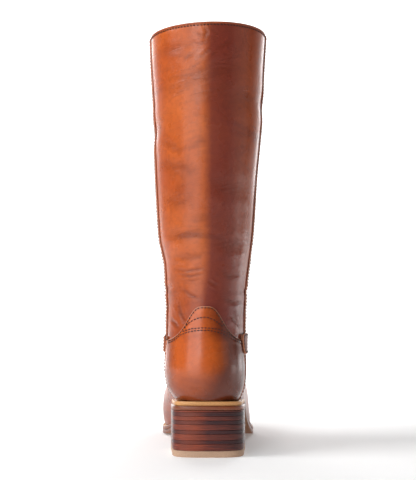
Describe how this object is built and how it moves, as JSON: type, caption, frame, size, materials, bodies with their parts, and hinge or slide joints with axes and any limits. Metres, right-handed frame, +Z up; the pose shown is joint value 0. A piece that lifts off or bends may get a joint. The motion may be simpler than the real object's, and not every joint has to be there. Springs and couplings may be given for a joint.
{
  "type": "knee-high boot",
  "caption": "Right knee-high boot: hollow leather shaft and foot with a heel counter and vamp over it, on a welted leather sole and a stacked block heel.",
  "frame": {"origin": "on the floor under the middle of the heel", "axes": "+Z up, +Y from heel to toe, +X to the outer side of the right foot"},
  "size_m": [0.1157, 0.2595, 0.4109],
  "materials": {
    "upper_leather": "glossy cognac pull-up leather",
    "counter_leather": "glossy cognac leather, moulded",
    "vamp_leather": "glossy cognac leather",
    "strip_leather": "satin cognac leather, stitched",
    "tab_leather": "satin cognac leather",
    "insole_leather": "matt vegetable-tanned leather",
    "welt_leather": "satin natural leather, grooved and stitched",
    "sole_leather": "satin brown leather with a waxed edge",
    "lift_light": "glossy red-brown stacked leather",
    "lift_dark": "glossy dark brown stacked leather",
    "top_lift_rubber": "matt tan rubber"
  },
  "bodies": {
    "root": {"upper": "upper_leather", "heel_counter": "counter_leather", "vamp": "vamp_leather", "side_strip_medial": "strip_leather", "side_strip_lateral": "strip_leather", "side_tab_medial": "tab_leather", "side_tab_lateral": "tab_leather", "insole": "insole_leather", "welt": "welt_leather", "outsole": "sole_leather", "heel_lift_1": "lift_light", "heel_lift_2": "lift_dark", "heel_lift_3": "lift_light", "heel_lift_4": "lift_dark", "heel_lift_5": "lift_light", "heel_lift_6": "lift_dark", "heel_lift_7": "lift_light", "heel_lift_8": "lift_dark", "seat_lift": "lift_light", "top_lift": "top_lift_rubber"}
  },
  "joints": []
}
